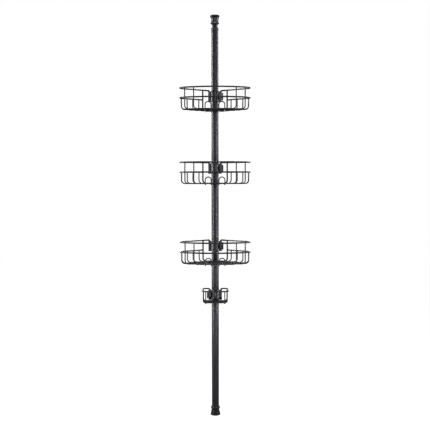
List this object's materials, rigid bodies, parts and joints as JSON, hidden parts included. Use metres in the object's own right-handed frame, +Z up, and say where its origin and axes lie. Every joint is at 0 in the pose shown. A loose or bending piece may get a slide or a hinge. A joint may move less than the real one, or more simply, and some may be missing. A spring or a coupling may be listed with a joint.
{
  "type": "shower caddy",
  "caption": "Floor-to-ceiling tension pole with wire corner baskets and a soap dish that clamp on, slide and swivel; the pole telescopes and a sprung cap wedges it in place.",
  "frame": {"origin": "centre of the rubber foot's flat underside, where the pole stands on the floor or the bath's rim", "axes": "+Z up along the pole to the ceiling, +X to the right as seen from the front of the baskets, -Y out of the corner towards the user"},
  "size_m": [0.3212, 0.2551, 1.864],
  "materials": {
    "coated_tube": "dark bronze powder coat, satin",
    "coated_wire": "dark bronze powder coat, satin",
    "bronze_plastic": "dark bronze moulded plastic, satin",
    "black_plastic": "black moulded plastic, matte",
    "rubber": "black rubber, matte",
    "zinc_steel": "zinc-plated steel"
  },
  "bodies": {
    "pole": {"foot_pad": "rubber", "foot_collar": "bronze_plastic", "tube_lower": "coated_tube", "tube_middle": "coated_tube", "tube_upper": "coated_tube", "coupler_lower": "zinc_steel", "coupler_upper": "zinc_steel", "guide_bush": "black_plastic"},
    "inner_tube": {"inner_tube": "coated_tube", "tube_slider": "black_plastic", "spring_seat": "black_plastic", "cap_spring": "zinc_steel"},
    "cap": {"ceiling_cup": "bronze_plastic", "ceiling_pad": "rubber"},
    "lock_collar": {"lock_collar": "bronze_plastic"},
    "basket_1_liner": {"basket_1_liner": "black_plastic"},
    "basket_1": {"basket_1_top_ring": "coated_wire", "basket_1_middle_ring": "coated_wire", "basket_1_frame_wires": "coated_wire", "basket_1_floor_wires": "coated_wire", "basket_1_hook_wires": "coated_wire", "basket_1_collar": "bronze_plastic", "basket_1_nut": "zinc_steel"},
    "basket_1_knob": {"basket_1_knob": "bronze_plastic", "basket_1_screw": "zinc_steel"},
    "basket_2_liner": {"basket_2_liner": "black_plastic"},
    "basket_2": {"basket_2_top_ring": "coated_wire", "basket_2_middle_ring": "coated_wire", "basket_2_frame_wires": "coated_wire", "basket_2_floor_wires": "coated_wire", "basket_2_hook_wires": "coated_wire", "basket_2_collar": "bronze_plastic", "basket_2_nut": "zinc_steel"},
    "basket_2_knob": {"basket_2_knob": "bronze_plastic", "basket_2_screw": "zinc_steel"},
    "basket_3_liner": {"basket_3_liner": "black_plastic"},
    "basket_3": {"basket_3_top_ring": "coated_wire", "basket_3_middle_ring": "coated_wire", "basket_3_frame_wires": "coated_wire", "basket_3_floor_wires": "coated_wire", "basket_3_hook_wires": "coated_wire", "basket_3_collar": "bronze_plastic", "basket_3_nut": "zinc_steel"},
    "basket_3_knob": {"basket_3_knob": "bronze_plastic", "basket_3_screw": "zinc_steel"},
    "dish_liner": {"dish_liner": "black_plastic"},
    "dish": {"dish_top_ring": "coated_wire", "dish_floor_wires": "coated_wire", "dish_support_wires": "coated_wire", "dish_collar": "bronze_plastic", "dish_nut": "zinc_steel"},
    "dish_knob": {"dish_knob": "bronze_plastic", "dish_screw": "zinc_steel"}
  },
  "joints": [
    {"name": "basket_1_slide", "type": "slide", "parent": "pole", "child": "basket_1_liner", "axis": [0, 0, 1], "range_m": [-0.1, 0.25]},
    {"name": "basket_1_swivel", "type": "hinge", "parent": "basket_1_liner", "child": "basket_1", "pos_m": [0, 0, 1.489], "axis": [0, 0, 1], "continuous": true},
    {"name": "basket_1_knob_turn", "type": "hinge", "parent": "basket_1", "child": "basket_1_knob", "pos_m": [0, 0, 1.489], "axis": [1, 0, 0], "range_deg": [0, 360]},
    {"name": "basket_2_slide", "type": "slide", "parent": "pole", "child": "basket_2_liner", "axis": [0, 0, 1], "range_m": [-0.12, 0.11]},
    {"name": "basket_2_swivel", "type": "hinge", "parent": "basket_2_liner", "child": "basket_2", "pos_m": [0, 0, 1.1555], "axis": [0, 0, 1], "continuous": true},
    {"name": "basket_2_knob_turn", "type": "hinge", "parent": "basket_2", "child": "basket_2_knob", "pos_m": [0, 0, 1.1555], "axis": [1, 0, 0], "range_deg": [0, 360]},
    {"name": "basket_3_slide", "type": "slide", "parent": "pole", "child": "basket_3_liner", "axis": [0, 0, 1], "range_m": [-0.05, 0.12]},
    {"name": "basket_3_swivel", "type": "hinge", "parent": "basket_3_liner", "child": "basket_3", "pos_m": [0, 0, 0.7945], "axis": [0, 0, 1], "continuous": true},
    {"name": "basket_3_knob_turn", "type": "hinge", "parent": "basket_3", "child": "basket_3_knob", "pos_m": [0, 0, 0.7945], "axis": [1, 0, 0], "range_deg": [0, 360]},
    {"name": "dish_slide", "type": "slide", "parent": "pole", "child": "dish_liner", "axis": [0, 0, 1], "range_m": [-0.45, 0.05]},
    {"name": "dish_swivel", "type": "hinge", "parent": "dish_liner", "child": "dish", "pos_m": [0, 0, 0.5665], "axis": [0, 0, 1], "continuous": true},
    {"name": "dish_knob_turn", "type": "hinge", "parent": "dish", "child": "dish_knob", "pos_m": [0, 0, 0.5665], "axis": [-1, 0, 0], "range_deg": [0, 360]},
    {"name": "pole_extension", "type": "slide", "parent": "pole", "child": "inner_tube", "axis": [0, 0, 1], "range_m": [0, 0.59]},
    {"name": "cap_travel", "type": "slide", "parent": "inner_tube", "child": "cap", "axis": [0, 0, 1], "range_m": [-0.012, 0], "stiffness_N_per_m": 4000, "deforming": ["cap_spring"]},
    {"name": "lock_collar_twist", "type": "hinge", "parent": "pole", "child": "lock_collar", "pos_m": [0, 0, 1.7995], "axis": [0, 0, 1], "range_deg": [0, 90]}
  ]
}
